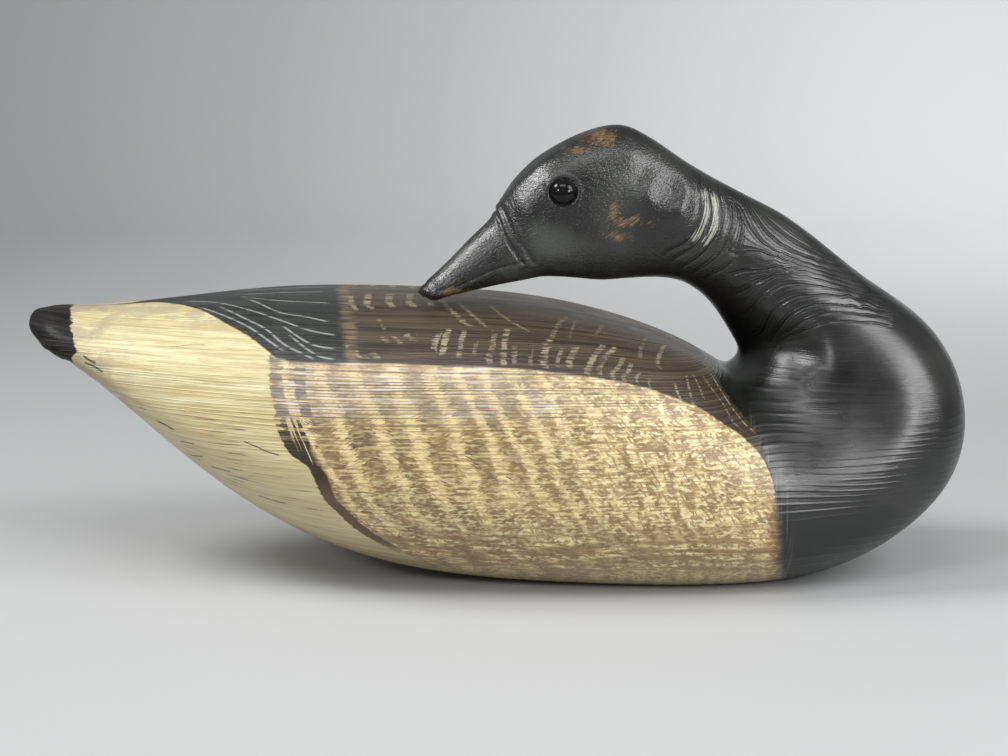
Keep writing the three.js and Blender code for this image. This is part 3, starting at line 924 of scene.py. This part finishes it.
def black_paint(p):
    """Breast, neck and head: black rubbed to grey, with brush marks, a few bare places, and painted shade
    in its cuts, folds and hollows.
    """
    grey_share = p.noise(p.place, 28, 3).step(0.42, 0.72)
    face = (p.x.step(0.065, 0.03) * p.way.step(*HEAD_INTO_FACE)).mix(HEAD_GREY, FACE_GREY)
    colour = grey_share.mix(BLACK, p.head.mix(BLACK_RUBBED, face))
    brush = p.noise(p.vector(p.x * 700, p.z * 22, p.side), detail=1).step(0.54, 0.7)
    near_edge = p.measure("past_breast").step(0.01, 0.001) * p.z.step(0.11, 0.08)
    colour = (brush * near_edge * 0.3).mix(colour, STROKE)
    # Painted shade in the deep cuts and in the hollow of the breast
    colour = (p.measure("hollow") * 0.6).mix(colour, PAINTED_SHADE_BLACK)
    # Painted shade in the fold cuts, on the inner side of the neck and at the spot at its root
    folds = (fold_cuts(p, "throat_fold") + fold_cuts(p, "cheek_fold")) * -0.8
    colour = folds.most(p.measure("painted_shade")).mix(colour, PAINTED_SHADE_BLACK)
    scratch = p.turned(35, 150, 1300) + p.noise(p.place, 130, 3)
    bare = (p.measure("bare") * 0.5 + scratch).step(1.2, 1.5) * p.measure("bare").step(0.05, 0.3) * 0.75
    wood = p.turned(30, 220, 1300).step(0.45, 0.62).mix(BARE_WOOD, BARE_LIGHT)
    colour = bare.mix(colour, wood)
    number = p.measure("cheek_fold")
    bristles = p.noise(p.vector(number * 7, p.z * 70, p.side), detail=3, rough=0.7)
    chalk = (p.measure("chalk") * 0.6 + bristles * 2 + number.from_whole() * 0.3).step(1.5, 1.75)
    return (chalk * 0.85).mix(colour, CHALK)


def fold_cuts(p, name):
    """Fine cuts that follow the flow of the folds, up to 0 in their depths and 1 between them."""
    number = p.measure(name) + (p.noise(p.place, 45, 1) - 0.5) * 0.5
    strong = number.from_whole().step(0.0, 0.1)
    fine = (number * 4).from_whole().step(0.0, 0.25)
    fine_share = p.noise(p.place, 35, 1).step(0.3, 0.6) * 0.5
    return ((strong - 1) + (fine - 1) * fine_share) * p.measure(name + "_hold")


def relief(p):
    """Height of the grain, the combed grooves and the fine gouging, in metres."""
    comb = p.groove * p.z.step(0.06, 0.11) * -0.0002 + p.strokes() * 0.00012
    fibre = p.streaks(90, 2200, 1.6, 1) * 0.00010
    wander = p.streaks(7, 26, 2.6, 1)
    furrow = (p.level * (1 / FURROW_SPACING) + wander * 5).from_whole().step(0.0, 0.3)
    furrows = (furrow - 1) * (p.streaks(14, 120, 3.6, 0).step(0.2, 0.55) * 0.00018)
    stipple = p.turned(25, 560, 1000, 1).step(0.3, 0.62) * 0.00012
    folds = (fold_cuts(p, "throat_fold") + fold_cuts(p, "cheek_fold")) * 0.00035
    smooth = p.way.step(*BREAST_INTO_NECK).flip()
    black = p.head.mix(furrows * smooth + fibre, stipple + fibre)
    return p.black.mix(comb + fibre, black) + folds


def wood_material():
    """All the paints, laid over one another where each ends, with their polish and relief."""
    p = Paint("painted_wood")
    ragged = (p.streaks(60, 520, 0.4, 1) - 0.5) * 0.007
    soft = (p.streaks(30, 700, 0.9, 1) - 0.5) * 0.002
    flank = (p.measure("past_flank") + ragged).step(-0.0006, 0.0006)
    colour = flank.mix(cream_paint(p), flank_paint(p))
    colour = rear_edge_paint(p, colour)
    above = (p.measure("below_side") + soft).step(0.0009, -0.0009)
    colour = above.mix(colour, dark_back_paint(p))
    uneven = (p.noise(p.place, 260, 3) - 0.5) * 0.006
    tail = (p.measure("past_tail") + uneven).step(0.0008, -0.0008)
    colour = tail.mix(colour, tail_paint(p))
    colour = p.black.mix(colour, black_paint(p))
    p.tree.links.new(colour.socket, p.shader.inputs["Base Color"])
    worn = p.noise(p.place, 60, 3).step(0.3, 0.7) * 0.08
    rough = worn + p.black.mix(tail.mix(ROUGH_WOOD, ROUGH_TAIL), ROUGH_BLACK)
    p.tree.links.new(rough.socket, p.shader.inputs["Roughness"])
    polished = flank * p.z.step(0.097, 0.11) * (above * -0.5 + 1) * p.black.flip() * 0.45
    shine = (p.black * 0.3 + polished + 0.35) * (p.measure("painted_shade") * -0.7 + 1) * (tail * -0.6 + 1)
    p.tree.links.new(shine.socket, p.shader.inputs["Specular IOR Level"])
    set_inputs(p.shader, {"Coat Weight": 0.06, "Coat Roughness": 0.2})
    bump = p.tree.nodes.new("ShaderNodeBump")
    set_inputs(bump, {"Distance": 1, "Strength": 1})
    p.tree.links.new(relief(p).socket, bump.inputs["Height"])
    p.tree.links.new(bump.outputs[0], p.shader.inputs["Normal"])
    return p.material


def carved_goose(eyes):
    """The carving, as the solid's own skin with finer relief and paint."""
    skin = Skin()
    folds = {"throat_fold": flow(skin, THROAT_FOLDS), "cheek_fold": flow(skin, CHEEK_FOLDS)}
    height = carve_head(skin) + carve_lids(skin, eyes) + swell(skin, SWELLS + TAIL_SWELLS)
    for number, hold in folds.values():
        height += carve_folds(number, hold)
    # How far each point lies in a deep cut or hollow, for the painted shade there
    hollow = np.clip(-height / DEEP_CUT, 0, 1)
    skin.raise_by(height)
    goose = new_object("goose_carving", skin_mesh(skin, paint_measures(skin, hollow, folds)))
    goose.data.materials.append(wood_material())
    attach(goose, "root")
    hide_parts("carved_goose")


def glass_eye(name, back, top, radius, material):
    """A dome of glass turned about its axis, let into the wood by a little."""
    sides, steps, inlet, edge = 48, 14, 0.0006, 0.0006
    axis = Vector((top - back).tolist())
    rise = axis.length
    profile = [(radius, -inlet)]
    for step in range(steps):
        angle = pi / 2 * step / steps
        profile.append((radius * cos(angle), edge + (rise - edge) * sin(angle)))
    turn = axis.to_track_quat("Z", "Y")
    middle = Vector(back.tolist())
    points = []
    for ring_radius, height in profile:
        for side in range(sides):
            angle = 2 * pi * side / sides
            place = Vector((ring_radius * cos(angle), ring_radius * sin(angle), height))
            points.append(middle + turn @ place)
    points.append(Vector(top.tolist()))
    last = (len(profile) - 1) * sides
    faces = ring_faces(len(profile), sides)
    faces += [(last + side, last + (side + 1) % sides, len(points) - 1) for side in range(sides)]
    mesh = bpy.data.meshes.new(name + "_glass")
    mesh.from_pydata(points, [], faces)
    mesh.shade_smooth()
    mesh.materials.append(material)
    eye = new_object(name + "_glass", mesh)
    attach(eye, "root")
    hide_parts(name)


def camera():
    data = bpy.data.cameras.new("camera")
    data.lens = LENS_MM
    data.sensor_width = SENSOR_MM
    placed = new_object("camera", data)
    down = radians(LOOK_DOWN)
    distance = METRES_PER_PIXEL * IMAGE_WIDTH * LENS_MM / SENSOR_MM
    placed.location = LOOK_AT + distance * Vector((0, -cos(down), sin(down)))
    placed.rotation_euler = (pi / 2 - down, 0, 0)
    bpy.context.scene.camera = placed


def backdrop():
    """A pale paper floor that sweeps up behind the decoy."""
    front, back, wide, bend, high, steps = -2.4, 1.5, 2.6, 0.7, 2.6, 16
    line = [(front, 0.0)]
    for step in range(steps + 1):
        angle = pi / 2 * step / steps
        line.append((back + bend * sin(angle), bend * (1 - cos(angle))))
    line.append((back + bend, high))
    points = [(side * wide, y, z) for y, z in line for side in (-1, 1)]
    faces = [(2 * n, 2 * n + 1, 2 * n + 3, 2 * n + 2) for n in range(len(line) - 1)]
    mesh = bpy.data.meshes.new("backdrop")
    mesh.from_pydata(points, [], faces)
    mesh.shade_smooth()
    mesh.materials.append(plain_material("paper", PAPER, roughness=0.8))
    new_object("backdrop", mesh)


def area_light(name, turn, rise, size, power, spread=180, aim=LOOK_AT, distance=1.5):
    """A light of some size, placed by its angles round the decoy from the camera's side."""
    data = bpy.data.lights.new(name, "AREA")
    data.shape = "RECTANGLE"
    data.size, data.size_y = size
    data.energy = power
    data.spread = radians(spread)
    lamp = new_object(name, data)
    turn, rise = radians(turn), radians(rise)
    toward = Vector((sin(turn) * cos(rise), -cos(turn) * cos(rise), sin(rise)))
    lamp.location = LOOK_AT + toward * distance
    lamp.rotation_euler = (lamp.location - aim).to_track_quat("Z", "Y").to_euler()


def lights():
    far_floor = Vector((0.5, 1.7, 0.15))
    area_light("top_box", turn=-6, rise=55, size=(0.9, 0.4), power=5.5)
    area_light("right_box", turn=56, rise=33, size=(0.75, 0.95), power=15.5)
    area_light("side_box", turn=-82, rise=46, size=(0.75, 0.42), power=5.5, spread=100)
    area_light("left_lamp", turn=-35, rise=24, size=(0.18, 0.18), power=4)
    area_light("right_lamp", turn=36, rise=17, size=(0.26, 0.24), power=4.5)
    area_light(
        "back_box", turn=140, rise=38, size=(0.7, 0.7), power=11, spread=115, aim=far_floor, distance=1.9
    )
    world = bpy.data.worlds.new("studio")
    world.use_nodes = True
    set_inputs(world.node_tree.nodes["Background"], {"Color": (1, 1, 1, 1), "Strength": 0.32})
    bpy.context.scene.world = world
    bpy.context.scene.view_settings.view_transform = "Standard"


eyes = eye_places()
carved_goose(eyes)
glass = plain_material("eye_glass", GLASS, roughness=0.04, specular=0.25)
for eye, (back, top, radius) in eyes.items():
    glass_eye(eye, back, top, radius, glass)
camera()
backdrop()
lights()
